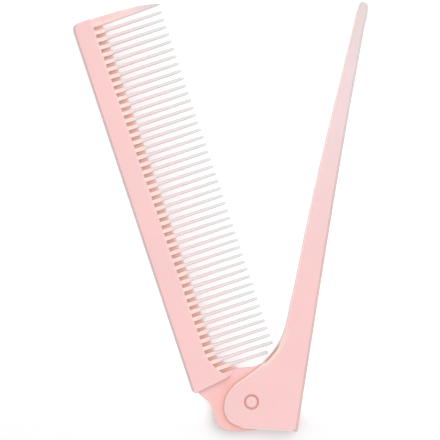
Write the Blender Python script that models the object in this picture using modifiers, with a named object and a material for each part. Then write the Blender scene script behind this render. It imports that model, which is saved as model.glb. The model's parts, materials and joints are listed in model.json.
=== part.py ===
"""Folding tail comb: a toothed blade hinged by a rivet to a forked, pointed tail handle.

Metres, +Z up. The comb lies flat on z = 0. Each half is drawn in its own frame, with the
hinge pin at the origin, +Y along the half and the halves' outer edges on opposite sides.
Folded shut, the two frames coincide.
"""

from math import pi, radians

import bmesh
import bpy
from mathutils import Vector

MM = 0.001

# Overall
THICKNESS = 5.8 * MM  # spine and cheeks, flush with each other
BLADE_TURN = radians(18.31)  # the blade's lean to the left, from +Y
HANDLE_TURN = radians(-8.92)  # the tail's lean to the right, from +Y

# Teeth
GAPS = 48
PITCH = 2.565 * MM
TOP_GAP_Y = 133.1 * MM
TIP_X_TOP = 12.5 * MM
TIP_X_BOTTOM = 12.9 * MM
ROOT_GAP = 1.0 * MM  # gap width between the thick lands
GAP_START = 0.5 * MM  # from the top of the bevel to the closed end of each gap
FREE_GAP = 1.44 * MM  # gap width between the free teeth
TIP_CHAMFER = 0.3 * MM
ROOT_X = -7.0 * MM  # about where the bevel ends
ROOT_THICKNESS = 2.6 * MM
TIP_THICKNESS = 1.2 * MM

# The bevel from the spine down to the teeth. It drifts to the right on its way down, and
# flares round the heel.
BEVEL_TOP_Y = 140.0 * MM
FLARE_Y = 20.5 * MM
LAST_GAP_Y = TOP_GAP_Y - (GAPS - 1) * PITCH
SPINE_SIDE_TOP = -11.3 * MM
SPINE_SIDE_DRIFT = 1.25 * MM
SPINE_SIDE_FLARE = 3.1 * MM
TOOTH_SIDE_TOP = -7.75 * MM
TOOTH_SIDE_DRIFT = 1.25 * MM
TOOTH_SIDE_FLARE = 5.5 * MM

# The web that closes the middle of each gap between its two lands. It leaves a groove on
# each face, and the gap is open only between the free teeth.
WEB_TOP_Y = 135.0 * MM
WEB_FOOT_Y = 11.6 * MM
WEB_START_THICKNESS = 1.9 * MM
WEB_END_THICKNESS = 0.8 * MM
WEB_PAST_BEVEL = 0.2 * MM
WEB_LIMIT_X = -0.7 * MM

# Hinge
TANG_THICKNESS = 2.3 * MM
SLOT_WIDTH = 2.9 * MM
PIN_RADIUS = 1.4 * MM
BORE_RADIUS = 1.65 * MM
HEAD_RADIUS = 1.88 * MM
HEAD_THICKNESS = 0.6 * MM
SEAT_RADIUS = 2.6 * MM
SEAT_DEPTH = 0.85 * MM
HEAD_BELOW_FACE = 0.04 * MM

# Tail
WALL_X = 14.2 * MM  # inner face of the outer wall, beside the tang
WALL_END_Y = -4.6 * MM  # below this the slot is open to the outer side
CHANNEL_X = 13.4 * MM  # bottom of the channel for the tooth tips
CHANNEL_WIDTH = 2.2 * MM
SLOT_TOP_Y = 30.0 * MM
MID_TAIL_Y = 110.0 * MM
MID_TAIL_THICKNESS = 4.4 * MM
TAIL_TIP_Y = 136.0 * MM
TAIL_TIP_THICKNESS = 3.0 * MM

# Outlines: x and y in millimetres, and whether the edge turns there or runs on smoothly.
BLADE_OUTLINE = (
    (-17.55, 10.8, "turn"),
    (-17.3, 9.1, "smooth"),
    (-16.4, 8.45, "turn"),
    (-4.3, 10.0, "turn"),
    (-1.3, 12.4, "turn"),
    (-0.9, 13.28, "turn"),
    (9.9, 13.28, "turn"),
    (10.3, 13.58, "turn"),
    (10.3, 14.08, "turn"),
    (9.9, 14.38, "turn"),
    (9.9, 15.11, "turn"),
    (12.9, 15.11, "turn"),
    (12.5, 133.1, "turn"),
    (12.5, 134.0, "turn"),
    (12.9, 134.25, "turn"),
    (5.9, 136.15, "smooth"),
    (-4.7, 136.8, "turn"),
    (-15.4, 136.8, "turn"),
    (-17.0, 136.15, "smooth"),
    (-17.55, 134.4, "turn"),
)
TANG_OUTLINE = (
    (-16.2, 8.9, "turn"),
    (-13.7, 4.8, "turn"),
    (-13.1, 2.9, "smooth"),
    (-13.2, -1.0, "smooth"),
    (-13.2, -3.3, "smooth"),
    (-11.2, -6.1, "smooth"),
    (-7.4, -7.8, "smooth"),
    (0.0, -9.5, "smooth"),
    (8.0, -8.0, "smooth"),
    (12.4, -3.0, "smooth"),
    (12.6, 4.0, "smooth"),
    (10.6, 8.2, "smooth"),
    (7.6, 10.6, "smooth"),
    (4.5, 10.6, "smooth"),
    (1.5, 11.25, "smooth"),
    (-1.6, 12.9, "turn"),
    (-6.0, 12.0, "turn"),
)
HANDLE_OUTLINE = (
    (16.6, -7.4, "turn"),
    (16.75, 72.0, "smooth"),
    (17.15, 100.0, "smooth"),
    (17.8, 127.0, "smooth"),
    (17.95, 134.8, "smooth"),
    (17.4, 136.1, "smooth"),
    (15.3, 136.2, "smooth"),
    (14.75, 134.8, "smooth"),
    (12.65, 109.2, "smooth"),
    (10.55, 84.4, "smooth"),
    (9.0, 59.7, "smooth"),
    (7.9, 37.0, "smooth"),
    (6.15, 21.0, "smooth"),
    (2.2, 13.7, "smooth"),
    (-2.4, 8.6, "smooth"),
    (-7.1, 3.6, "smooth"),
    (-8.7, -1.3, "smooth"),
    (-7.0, -6.8, "smooth"),
    (-1.4, -9.2, "turn"),
)

COLOURS = {
    "comb_blade": (0.945, 0.640, 0.620, 1.0),
    "tail_handle": (0.965, 0.660, 0.650, 1.0),
    "pivot_pin": (0.960, 0.640, 0.620, 1.0),
}


def new_collection(name):
    collection = bpy.data.collections.new(name)
    bpy.context.scene.collection.children.link(collection)
    return collection


def as_cutter(obj):
    """Hide a helper body that only cuts or joins another."""
    obj.hide_render = True
    obj.display_type = "WIRE"


def plastic(name):
    material = bpy.data.materials.new(name)
    material.use_nodes = True
    shader = material.node_tree.nodes["Principled BSDF"]
    shader.inputs["Base Color"].default_value = COLOURS[name]
    shader.inputs["Roughness"].default_value = 0.35
    shader.inputs["Metallic"].default_value = 0.0
    return material


def add_spline(curve, rows):
    """One closed outline: straight where two turns meet, and curved beside a smooth point."""
    spline = curve.splines.new("BEZIER")
    spline.bezier_points.add(len(rows) - 1)
    spline.use_cyclic_u = True
    spline.resolution_u = 5
    for point, (x, y, kind) in zip(spline.bezier_points, rows):
        point.co = (x, y, 0.0)
        handle = "AUTO" if kind == "smooth" else "VECTOR"
        point.handle_left_type = handle
        point.handle_right_type = handle


def plate(name, outlines, thickness, collection, rim=0.0):
    """Flat plate about z = 0 from closed outlines in metres, with an optional rounded rim."""
    curve = bpy.data.curves.new(name, "CURVE")
    curve.dimensions = "2D"
    curve.fill_mode = "BOTH"
    curve.extrude = thickness / 2 - rim
    curve.bevel_depth = rim
    curve.bevel_resolution = 1
    curve.offset = -rim
    for rows in outlines:
        add_spline(curve, rows)
    return meshed(bpy.data.objects.new(name, curve), collection)


def meshed(curve_object, collection):
    """The curve object made a welded mesh object of the same name."""
    name = curve_object.name
    bpy.context.scene.collection.objects.link(curve_object)
    depsgraph = bpy.context.evaluated_depsgraph_get()
    mesh = bpy.data.meshes.new_from_object(curve_object.evaluated_get(depsgraph))
    matrix = curve_object.matrix_world.copy()
    bpy.data.objects.remove(curve_object)
    bm = bmesh.new()
    bm.from_mesh(mesh)
    bmesh.ops.remove_doubles(bm, verts=bm.verts, dist=1e-6)
    bmesh.ops.recalc_face_normals(bm, faces=bm.faces)
    bm.to_mesh(mesh)
    bm.free()
    obj = bpy.data.objects.new(name, mesh)
    obj.matrix_world = matrix
    collection.objects.link(obj)
    return obj


def in_metres(rows):
    return [(x * MM, y * MM, kind) for x, y, kind in rows]


def boolean(target, other, operation):
    modifier = target.modifiers.new(f"{operation.lower()} {other.name}", "BOOLEAN")
    modifier.operation = operation
    modifier.solver = "EXACT"
    modifier.object = other
    as_cutter(other)


def cylinder(name, radius, z_low, z_high, collection, sides=40):
    mesh = bpy.data.meshes.new(name)
    bm = bmesh.new()
    bmesh.ops.create_cone(
        bm,
        cap_ends=True,
        segments=sides,
        radius1=radius,
        radius2=radius,
        depth=z_high - z_low,
    )
    bmesh.ops.translate(bm, verts=bm.verts, vec=(0.0, 0.0, (z_low + z_high) / 2))
    bm.to_mesh(mesh)
    bm.free()
    obj = bpy.data.objects.new(name, mesh)
    collection.objects.link(obj)
    return obj


def bevel_at(y):
    """Where the bevel starts on the spine and ends on the teeth, at a height y."""
    drift = min(1.0, (BEVEL_TOP_Y - y) / (BEVEL_TOP_Y - FLARE_Y))
    flare = max(0.0, (FLARE_Y - y) / (FLARE_Y - LAST_GAP_Y))
    spine = SPINE_SIDE_TOP + SPINE_SIDE_DRIFT * drift + SPINE_SIDE_FLARE * flare**2
    tooth = TOOTH_SIDE_TOP + TOOTH_SIDE_DRIFT * drift + TOOTH_SIDE_FLARE * flare**2.5
    return spine, tooth


def tip_x(y):
    """The line of the tooth tips."""
    share = (TOP_GAP_Y - y) / (GAPS * PITCH)
    return TIP_X_TOP + share * (TIP_X_BOTTOM - TIP_X_TOP)


def gap_outline(y):
    """One gap between two teeth: narrow between the lands, wider between the free teeth."""
    root, tooth = bevel_at(y)
    tip = tip_x(y)
    half_root = ROOT_GAP / 2
    half_free = FREE_GAP / 2
    beyond = tip + 2 * TIP_CHAMFER
    lower = (
        (root + GAP_START, half_root),
        (tooth, half_root),
        (tooth + 0.4 * MM, half_free),
        (tip - 1.4 * TIP_CHAMFER, half_free),
        (tip, half_free + TIP_CHAMFER),
        (beyond, half_free + TIP_CHAMFER),
    )
    rows = [(x, y - half, "turn") for x, half in lower]
    rows += [(x, y + half, "turn") for x, half in reversed(lower)]
    return rows


def tooth_gaps(collection):
    """All the gaps as one cutter."""
    heights = [TOP_GAP_Y - PITCH * number for number in range(GAPS)]
    outlines = [gap_outline(y) for y in heights]
    return plate("gaps_between_teeth", outlines, 2 * THICKNESS, collection)


def half_tooth_thickness(x):
    """Half the thickness of a tooth, which thins evenly from the bevel to the tip."""
    share = (x - ROOT_X) / (TIP_X_BOTTOM - ROOT_X)
    return (ROOT_THICKNESS + share * (TIP_THICKNESS - ROOT_THICKNESS)) / 2


def relief_rings():
    """The floor and the ceiling of the space above the teeth, joined by the bevel's slope."""
    steps = 9
    low_y = 9.4 * MM
    heights = [BEVEL_TOP_Y] + [FLARE_Y + (low_y - FLARE_Y) * step / steps for step in range(steps + 1)]
    ceiling_z = THICKNESS / 2 + 1.0 * MM
    far_x = 20.0 * MM
    floor = []
    ceiling = []
    for y in heights:
        spine, tooth = bevel_at(y)
        floor_z = half_tooth_thickness(tooth)
        run_on = (ceiling_z - floor_z) / (THICKNESS / 2 - floor_z)
        floor.append((tooth, y, floor_z))
        ceiling.append((tooth + (spine - tooth) * run_on, y, ceiling_z))
    for y in (low_y, BEVEL_TOP_Y):
        floor.append((far_x, y, half_tooth_thickness(far_x)))
        ceiling.append((far_x, y, ceiling_z))
    return floor, ceiling


def tooth_relief(collection):
    """Cutter for both faces that leaves the bevel and the thin, tapering teeth."""
    floor, ceiling = relief_rings()
    bm = bmesh.new()
    for side in (1.0, -1.0):
        rings = []
        for ring in (floor, ceiling):
            rings.append([bm.verts.new((x, y, side * z)) for x, y, z in ring])
            bm.faces.new(rings[-1])
        lower, upper = rings
        for index in range(len(lower)):
            after = (index + 1) % len(lower)
            bm.faces.new((lower[index], lower[after], upper[after], upper[index]))
    bmesh.ops.triangulate(bm, faces=bm.faces)
    bmesh.ops.recalc_face_normals(bm, faces=bm.faces)
    mesh = bpy.data.meshes.new("tooth_relief")
    bm.to_mesh(mesh)
    bm.free()
    obj = bpy.data.objects.new("tooth_relief", mesh)
    collection.objects.link(obj)
    return obj


def gap_web(collection):
    """One strip down the roots of all the gaps, thinner towards the free teeth."""
    steps = 9
    heights = [WEB_TOP_Y]
    heights += [FLARE_Y + (WEB_FOOT_Y - FLARE_Y) * step / steps for step in range(steps + 1)]
    bm = bmesh.new()
    rings = []
    for y in heights:
        spine, tooth = bevel_at(y)
        start = spine + GAP_START / 2
        end = min(tooth + WEB_PAST_BEVEL, WEB_LIMIT_X)
        section = (
            (start, WEB_START_THICKNESS / 2),
            (end, WEB_END_THICKNESS / 2),
            (end, -WEB_END_THICKNESS / 2),
            (start, -WEB_START_THICKNESS / 2),
        )
        rings.append([bm.verts.new((x, y, z)) for x, z in section])
    bm.faces.new(rings[0])
    bm.faces.new(rings[-1])
    for upper, lower in zip(rings, rings[1:]):
        for index in range(4):
            after = (index + 1) % 4
            bm.faces.new((upper[index], upper[after], lower[after], lower[index]))
    bmesh.ops.triangulate(bm, faces=bm.faces)
    bmesh.ops.recalc_face_normals(bm, faces=bm.faces)
    mesh = bpy.data.meshes.new("gap_web")
    bm.to_mesh(mesh)
    bm.free()
    obj = bpy.data.objects.new("gap_web", mesh)
    collection.objects.link(obj)
    return obj


def comb_blade(parts, helpers):
    """Spine, bevel, teeth and tang in one moulding."""
    blade = plate("comb_blade", [in_metres(BLADE_OUTLINE)], THICKNESS, parts, rim=0.5 * MM)
    boolean(blade, tooth_relief(helpers), "DIFFERENCE")
    boolean(blade, plate("tang", [in_metres(TANG_OUTLINE)], TANG_THICKNESS, helpers), "UNION")
    boolean(blade, tooth_gaps(helpers), "DIFFERENCE")
    boolean(blade, gap_web(helpers), "UNION")
    boolean(blade, cylinder("tang_bore", BORE_RADIUS, -THICKNESS, THICKNESS, helpers), "DIFFERENCE")
    return blade


def thin_towards_tip(obj):
    """Thin the tail evenly from the hinge end to the middle, and faster to the tip."""
    bm = bmesh.new()
    bm.from_mesh(obj.data)
    for y in (SLOT_TOP_Y, MID_TAIL_Y):
        everything = bm.verts[:] + bm.edges[:] + bm.faces[:]
        bmesh.ops.bisect_plane(bm, geom=everything, plane_co=(0.0, y, 0.0), plane_no=(0.0, 1.0, 0.0))
    for vert in bm.verts:
        vert.co.z *= tail_thickness(vert.co.y) / THICKNESS
    bm.to_mesh(obj.data)
    bm.free()


def tail_thickness(y):
    if y <= SLOT_TOP_Y:
        return THICKNESS
    if y <= MID_TAIL_Y:
        share = (y - SLOT_TOP_Y) / (MID_TAIL_Y - SLOT_TOP_Y)
        return THICKNESS + share * (MID_TAIL_THICKNESS - THICKNESS)
    share = (y - MID_TAIL_Y) / (TAIL_TIP_Y - MID_TAIL_Y)
    return MID_TAIL_THICKNESS + share * (TAIL_TIP_THICKNESS - MID_TAIL_THICKNESS)


def polygon(corners):
    return [(x, y, "turn") for x, y in corners]


def tail_handle(parts, helpers):
    """Forked hinge end and channelled tail in one moulding."""
    handle = plate("tail_handle", [in_metres(HANDLE_OUTLINE)], THICKNESS, parts, rim=0.7 * MM)
    thin_towards_tip(handle)
    left = -15.0 * MM
    low = -15.0 * MM
    beyond_right = 20.0 * MM
    narrowing = 16.0 * MM
    slot = polygon(
        (
            (left, low),
            (beyond_right, low),
            (beyond_right, WALL_END_Y),
            (WALL_X, WALL_END_Y),
            (WALL_X, narrowing),
            (CHANNEL_X, narrowing + 4.0 * MM),
            (CHANNEL_X, SLOT_TOP_Y),
            (left, SLOT_TOP_Y),
        )
    )
    channel_start = SLOT_TOP_Y - 2.0 * MM
    channel_end = TAIL_TIP_Y + 4.0 * MM
    channel = polygon(
        (
            (left, channel_start),
            (CHANNEL_X, channel_start),
            (CHANNEL_X, channel_end),
            (left, channel_end),
        )
    )
    seat_floor = THICKNESS / 2 - SEAT_DEPTH
    boolean(handle, plate("hinge_slot", [slot], SLOT_WIDTH, helpers), "DIFFERENCE")
    boolean(handle, plate("tooth_channel", [channel], CHANNEL_WIDTH, helpers), "DIFFERENCE")
    bore = cylinder("cheek_bores", BORE_RADIUS, -THICKNESS, THICKNESS, helpers)
    upper_seat = cylinder("upper_seat", SEAT_RADIUS, seat_floor, THICKNESS, helpers)
    lower_seat = cylinder("lower_seat", SEAT_RADIUS, -THICKNESS, -seat_floor, helpers)
    for cutter in (bore, upper_seat, lower_seat):
        boolean(handle, cutter, "DIFFERENCE")
    return handle


def pivot_pin(parts):
    """Rivet turned from its half profile: a flat head with a small centre mark at each end."""
    face = THICKNESS / 2 - HEAD_BELOW_FACE
    under_head = face - HEAD_THICKNESS
    edge = 0.12 * MM
    mark_radius = 0.3 * MM
    mark_depth = 0.15 * MM
    upper = (
        (0.0, face - mark_depth),
        (mark_radius, face),
        (HEAD_RADIUS - edge, face),
        (HEAD_RADIUS, face - edge),
        (HEAD_RADIUS, under_head),
        (PIN_RADIUS, under_head),
    )
    profile = list(upper) + [(radius, -z) for radius, z in reversed(upper)]
    mesh = bpy.data.meshes.new("pivot_pin")
    bm = bmesh.new()
    verts = [bm.verts.new((radius, 0.0, z)) for radius, z in profile]
    for first, second in zip(verts, verts[1:]):
        bm.edges.new((first, second))
    bm.to_mesh(mesh)
    bm.free()
    pin = bpy.data.objects.new("pivot_pin", mesh)
    parts.objects.link(pin)
    screw = pin.modifiers.new("turned", "SCREW")
    screw.angle = 2 * pi
    screw.steps = 36
    screw.render_steps = 36
    screw.use_merge_vertices = True
    screw.merge_threshold = 1e-6
    return pin


def shade(obj):
    obj.data.materials.clear()
    obj.data.materials.append(plastic(obj.name))
    obj.data.shade_smooth()
    obj.data.set_sharp_from_angle(angle=radians(35.0))


def box_of(objects):
    """The lowest and highest corners of the finished meshes."""
    bpy.context.view_layer.update()
    depsgraph = bpy.context.evaluated_depsgraph_get()
    corners = []
    for obj in objects:
        evaluated = obj.evaluated_get(depsgraph)
        mesh = evaluated.to_mesh()
        corners += [evaluated.matrix_world @ vert.co for vert in mesh.vertices]
        evaluated.to_mesh_clear()
    low = Vector([min(corner[axis] for corner in corners) for axis in range(3)])
    high = Vector([max(corner[axis] for corner in corners) for axis in range(3)])
    return low, high


def new_empty(name, collection, angle):
    empty = bpy.data.objects.new(name, None)
    empty.empty_display_size = 5.0 * MM
    empty.rotation_euler = (0.0, 0.0, angle)
    collection.objects.link(empty)
    return empty


def main():
    for obj in list(bpy.data.objects):
        bpy.data.objects.remove(obj)
    parts = new_collection("folding_comb")
    helpers = new_collection("cutters")
    blade_axis = new_empty("blade_axis", parts, BLADE_TURN)
    handle_axis = new_empty("handle_axis", parts, HANDLE_TURN)

    blade = comb_blade(parts, helpers)
    handle = tail_handle(parts, helpers)
    pin = pivot_pin(parts)
    for obj in (blade, handle, pin):
        shade(obj)
    for obj, axis in ((blade, blade_axis), (handle, handle_axis), (pin, handle_axis)):
        obj.parent = axis
    for target, axis in ((blade, blade_axis), (handle, handle_axis)):
        for modifier in target.modifiers:
            modifier.object.parent = axis

    low, high = box_of((blade, handle, pin))
    pin_at = Vector((-(low.x + high.x) / 2, -(low.y + high.y) / 2, -low.z))
    for axis in (blade_axis, handle_axis):
        axis.location = pin_at
    print("pin at", [round(value, 6) for value in pin_at])


main()
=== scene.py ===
# %% [markdown]
# # A folding tail comb
#
# The real comb is three mouldings in one pale pink plastic: a toothed blade, a pointed tail
# that is both its handle and its cover, and a rivet that joins them. It lies flat, part open.
#
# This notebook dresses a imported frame. The frame already holds the sizes, the hinge and the
# way the tail turns. Here each moulding is made again as a finer mesh, with rounded rims,
# rounded teeth and a real plastic surface, and takes the place of the frame's plain solid.

import json
from math import atan, atan2, cos, degrees, pi, radians, sin, tan

import bmesh
import bpy
from mathutils import Matrix, Vector


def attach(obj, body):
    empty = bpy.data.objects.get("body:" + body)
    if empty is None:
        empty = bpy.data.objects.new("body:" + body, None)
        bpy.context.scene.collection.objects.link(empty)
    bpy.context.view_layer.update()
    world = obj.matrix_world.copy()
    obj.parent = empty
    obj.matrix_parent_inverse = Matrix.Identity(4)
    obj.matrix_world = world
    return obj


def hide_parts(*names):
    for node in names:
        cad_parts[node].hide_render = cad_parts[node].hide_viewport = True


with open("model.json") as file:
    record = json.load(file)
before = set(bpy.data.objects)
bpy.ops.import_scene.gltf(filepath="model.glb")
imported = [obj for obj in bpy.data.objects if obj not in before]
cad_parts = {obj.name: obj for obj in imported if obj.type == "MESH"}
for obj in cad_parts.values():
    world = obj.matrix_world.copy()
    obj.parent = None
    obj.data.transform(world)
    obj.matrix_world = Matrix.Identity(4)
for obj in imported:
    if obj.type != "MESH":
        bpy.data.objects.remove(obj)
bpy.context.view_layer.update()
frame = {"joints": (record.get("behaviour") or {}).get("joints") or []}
pin_at = Vector(frame["joints"][0]["pos_m"])
print("pin at", [round(value, 5) for value in pin_at])

# %% [markdown]
# ## Two halves, two flat drawings
#
# The blade and the tail lean away from each other, so neither lies along an axis. Each could
# be modelled at its lean, but then every number would carry a sine and a cosine. It is
# easier to draw each half upright about the pin, as a toolmaker would, and to turn the
# finished mesh at the end. Lengths are in metres, and MM turns a drawing's millimetres
# into them.

# %% Sizes shared by the halves
MM = 0.001
THICKNESS = 5.8 * MM
BLADE_TURN = radians(18.31)
TAIL_TURN = radians(-8.92)
TANG_THICKNESS = 2.3 * MM
SLOT_WIDTH = 2.9 * MM
BORE_RADIUS = 1.65 * MM
RIM_RADIUS = 1.1 * MM
RIM_SEGMENTS = 6
ROUND_STEPS = 64
MERGE = 0.001 * MM  # points nearer than this are one point

# %% [markdown]
# ## Helpers for closed bodies
#
# A mesh can come from a closed outline that is built up in rings, or from a small end face
# that is walked along in steps. The outline here is a Bezier curve, because a few points with
# automatic handles give the smooth sweep of the tail, and handles of type Vector keep the
# corners sharp. The curve only supplies the points: the rest is bmesh.

# %% The points of an outline
OUTLINE_MERGE = 0.01 * MM


def finished_mesh(obj):
    """The mesh of an object with its modifiers applied. The object is then removed."""
    depsgraph = bpy.context.evaluated_depsgraph_get()
    mesh = bpy.data.meshes.new_from_object(obj.evaluated_get(depsgraph))
    bpy.data.objects.remove(obj)
    return mesh


def outline_points(rows, smoothness):
    """The outline's points, anticlockwise, from rows of x, y in millimetres and turn or smooth."""
    curve = bpy.data.curves.new("outline", "CURVE")
    curve.dimensions = "2D"
    curve.fill_mode = "NONE"
    spline = curve.splines.new("BEZIER")
    spline.bezier_points.add(len(rows) - 1)
    spline.use_cyclic_u = True
    spline.resolution_u = smoothness
    for point, (x, y, kind) in zip(spline.bezier_points, rows):
        point.co = (x * MM, y * MM, 0.0)
        handle = "AUTO" if kind == "smooth" else "VECTOR"
        point.handle_left_type = handle
        point.handle_right_type = handle
    drawn = bpy.data.objects.new("outline", curve)
    bpy.context.scene.collection.objects.link(drawn)
    mesh = finished_mesh(drawn)
    bm = bmesh.new()
    bm.from_mesh(mesh)
    bpy.data.meshes.remove(mesh)
    bmesh.ops.remove_doubles(bm, verts=bm.verts, dist=OUTLINE_MERGE)
    bmesh.ops.contextual_create(bm, geom=bm.edges[:])
    bm.faces.ensure_lookup_table()
    bm.normal_update()
    face = bm.faces[0]
    if face.normal.z < 0.0:
        face.normal_flip()
    points = [vert.co.xy.copy() for vert in face.verts]
    bm.free()
    return points


# %% [markdown]
# A plate is the outline stood through its thickness, with a rim that is rounded on both
# faces. A Bevel modifier would stop at the tightest bend and give the whole rim that small
# radius. Here each point of the outline gets its own: the full radius along the sides, and
# less where the outline bends so tightly that the rim would fold over itself.

# %% A plate with a rounded rim
RIM_CHANGE = 0.5  # the most that the radius may change, per length along the rim
EDGE_SHARE = 0.8  # the most of an edge that rounding its rim may use up
NEARLY_STRAIGHT = 0.0001


def rim_radii(points, edges, turns, radius_at):
    """The radius at each point, limited where an edge would vanish and evened along the rim."""
    count = len(points)
    radii = [radius_at(point) for point in points]
    for number in range(count):
        after = (number + 1) % count
        bend = tan(turns[number] / 2) + tan(turns[after] / 2)
        if bend > NEARLY_STRAIGHT:
            limit = EDGE_SHARE * edges[number].length / bend
            radii[number] = min(radii[number], limit)
            radii[after] = min(radii[after], limit)
    for number in range(2 * count):
        here, after = number % count, (number + 1) % count
        radii[after] = min(radii[after], radii[here] + RIM_CHANGE * edges[here].length)
    for number in range(2 * count, 0, -1):
        here, before = number % count, (number - 1) % count
        radii[before] = min(radii[before], radii[here] + RIM_CHANGE * edges[before].length)
    return radii


def plate(rows, thickness, radius_at=lambda place: 0.0, segments=0, smoothness=12):
    """A closed plate about z = 0, with rings of points from its upper face to its lower one."""
    points = outline_points(rows, smoothness)
    count = len(points)
    edges = [points[(number + 1) % count] - points[number] for number in range(count)]
    turns = [atan2(edges[n - 1].cross(edges[n]), edges[n - 1].dot(edges[n])) for n in range(count)]
    radii = rim_radii(points, edges, turns, radius_at)
    inwards = []
    for number, edge in enumerate(edges):
        before = edges[number - 1].orthogonal().normalized()
        after = edge.orthogonal().normalized()
        inwards.append((before + after) / (1.0 + before.dot(after)))
    steps = [pi / 2 * step / max(segments, 1) for step in range(segments, -1, -1)]
    bm = bmesh.new()
    rings = []
    for side, angles in ((1.0, steps), (-1.0, reversed(steps))):
        for angle in angles:
            ring = []
            for point, inward, radius in zip(points, inwards, radii):
                at = point + inward * radius * (1.0 - cos(angle))
                height = thickness / 2 - radius * (1.0 - sin(angle))
                ring.append(bm.verts.new((at.x, at.y, side * height)))
            rings.append(ring)
    for upper, lower in zip(rings, rings[1:]):
        for number in range(count):
            after = (number + 1) % count
            bm.faces.new((upper[number], lower[number], lower[after], upper[after]))
    bm.faces.new(rings[0])
    bm.faces.new(list(reversed(rings[-1])))
    bmesh.ops.remove_doubles(bm, verts=bm.verts, dist=MERGE)
    bmesh.ops.recalc_face_normals(bm, faces=bm.faces)
    return bm


# %% [markdown]
# Teeth are better walked than drawn. A square face with rounded corners is extruded from
# station to station, and at each one it is moved and scaled. That gives the taper of a
# moulded tooth, which has to pull out of its mould, and a rounded tip in the last few steps.


# %% A tapered bar, walked along X
def rounded_square(bm, corner, segments):
    """A face one metre square across X, with its corners rounded."""
    verts = bmesh.ops.create_grid(bm, x_segments=1, y_segments=1, size=0.5)["verts"]
    face = verts[0].link_faces[0]
    upright = Matrix.Rotation(pi / 2, 3, "Y")
    bmesh.ops.rotate(bm, verts=verts, cent=(0.0, 0.0, 0.0), matrix=upright)
    made = bmesh.ops.bevel(
        bm,
        geom=list(face.verts),
        offset=corner,
        segments=segments,
        profile=0.5,
        affect="VERTICES",
        material=-1,
    )
    return made["verts"][0].link_faces[0]


def walk(bm, places, corner, segments):
    """A closed bar through places of x, y, width along Y and height along Z, in metres."""
    face = rounded_square(bm, corner, segments)
    x_now, y_now, width_now, height_now = 0.0, 0.0, 1.0, 1.0
    for number, (x, y, width, height) in enumerate(places):
        if number > 0:
            left_behind = face
            made = bmesh.ops.extrude_face_region(bm, geom=[face])["geom"]
            face = next(item for item in made if isinstance(item, bmesh.types.BMFace))
            if number > 1:
                bmesh.ops.delete(bm, geom=[left_behind], context="FACES_ONLY")
        growth = (1.0, width / width_now, height / height_now)
        to_centre = Matrix.Translation((-x_now, -y_now, 0.0))
        bmesh.ops.scale(bm, verts=face.verts, vec=growth, space=to_centre)
        bmesh.ops.translate(bm, verts=face.verts, vec=(x - x_now, y - y_now, 0.0))
        x_now, y_now, width_now, height_now = x, y, width, height


# %% [markdown]
# A moulding is one body, so its members are joined and its slots cut with Boolean modifiers,
# which are applied before the mesh is placed. The exact solver keeps each rounded rim. It
# needs flat faces, and a face that tapers two ways is slightly twisted, so every body is
# made of triangles first. It may list its result in another order on each run, so the mesh
# is sorted before near points are merged, and every run then gives the same mesh.

# %% Join, cut and place
BOOLEAN_MERGE = 0.002 * MM
SHARP_FROM = radians(40.0)
SORTED_ALONG = Vector((1.0, 1.73, 2.91))


def as_object(name, bm):
    mesh = bpy.data.meshes.new(name)
    bm.to_mesh(mesh)
    bm.free()
    obj = bpy.data.objects.new(name, mesh)
    bpy.context.scene.collection.objects.link(obj)
    return obj


def put_in_order(bm):
    """Sort the mesh by place, along a direction in which no two points tie."""
    bm.verts.sort(key=lambda vert: vert.co.dot(SORTED_ALONG))
    bm.verts.index_update()
    bm.edges.sort(key=lambda edge: sum(vert.index**2 for vert in edge.verts))
    bm.faces.sort(key=lambda face: sum(vert.index**2 for vert in face.verts))


def combined(name, base, steps):
    """The base with each body joined to it or cut from it in turn, as one bmesh."""
    bmesh.ops.triangulate(base, faces=base.faces)
    body = as_object(name, base)
    helpers = []
    for operation, other in steps:
        bmesh.ops.triangulate(other, faces=other.faces)
        bmesh.ops.recalc_face_normals(other, faces=other.faces)
        helper = as_object(f"helper_{len(helpers)}", other)
        modifier = body.modifiers.new(operation, "BOOLEAN")
        modifier.operation = operation
        modifier.solver = "EXACT"
        modifier.object = helper
        helpers.append(helper)
    mesh = finished_mesh(body)
    for helper in helpers:
        bpy.data.objects.remove(helper)
    bm = bmesh.new()
    bm.from_mesh(mesh)
    bpy.data.meshes.remove(mesh)
    put_in_order(bm)
    bmesh.ops.remove_doubles(bm, verts=bm.verts, dist=BOOLEAN_MERGE)
    put_in_order(bm)
    bmesh.ops.dissolve_degenerate(bm, dist=BOOLEAN_MERGE, edges=bm.edges)
    return bm


def dressed(name, bm, turn, node, body, material):
    """Turn a half about the pin, stand it on the frame and let it take the node's place."""
    turned = Matrix.Rotation(turn, 3, "Z")
    bmesh.ops.rotate(bm, verts=bm.verts, cent=(0.0, 0.0, 0.0), matrix=turned)
    bmesh.ops.translate(bm, verts=bm.verts, vec=pin_at)
    open_edges = sum(1 for edge in bm.edges if len(edge.link_faces) != 2)
    obj = as_object(name, bm)
    obj.data.materials.append(material)
    obj.data.shade_smooth()
    obj.data.set_sharp_from_angle(angle=SHARP_FROM)
    even = obj.modifiers.new("even_shading", "WEIGHTED_NORMAL")
    even.keep_sharp = True
    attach(obj, body)
    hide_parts(node)
    print(name, len(obj.data.polygons), "faces,", open_edges, "open edges")


# %% [markdown]
# ## The plastic
#
# All three mouldings are one satin pink plastic. Where it is thin, at the tooth tips and
# towards the point of the tail, light comes through it and it turns almost white, and this
# light is painted into the colour as a fade. A photo texture could carry that fade, but a
# fade worked out from the distance along the piece stays sharp at any size. The shader reads
# the object's own coordinates, and a Mapping node of type Texture turns them back into the upright
# drawing of that half.


# %% Shader node helpers
def add_node(tree, kind, **settings):
    node = tree.nodes.new(kind)
    for name, value in settings.items():
        setattr(node, name, value)
    return node


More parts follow.
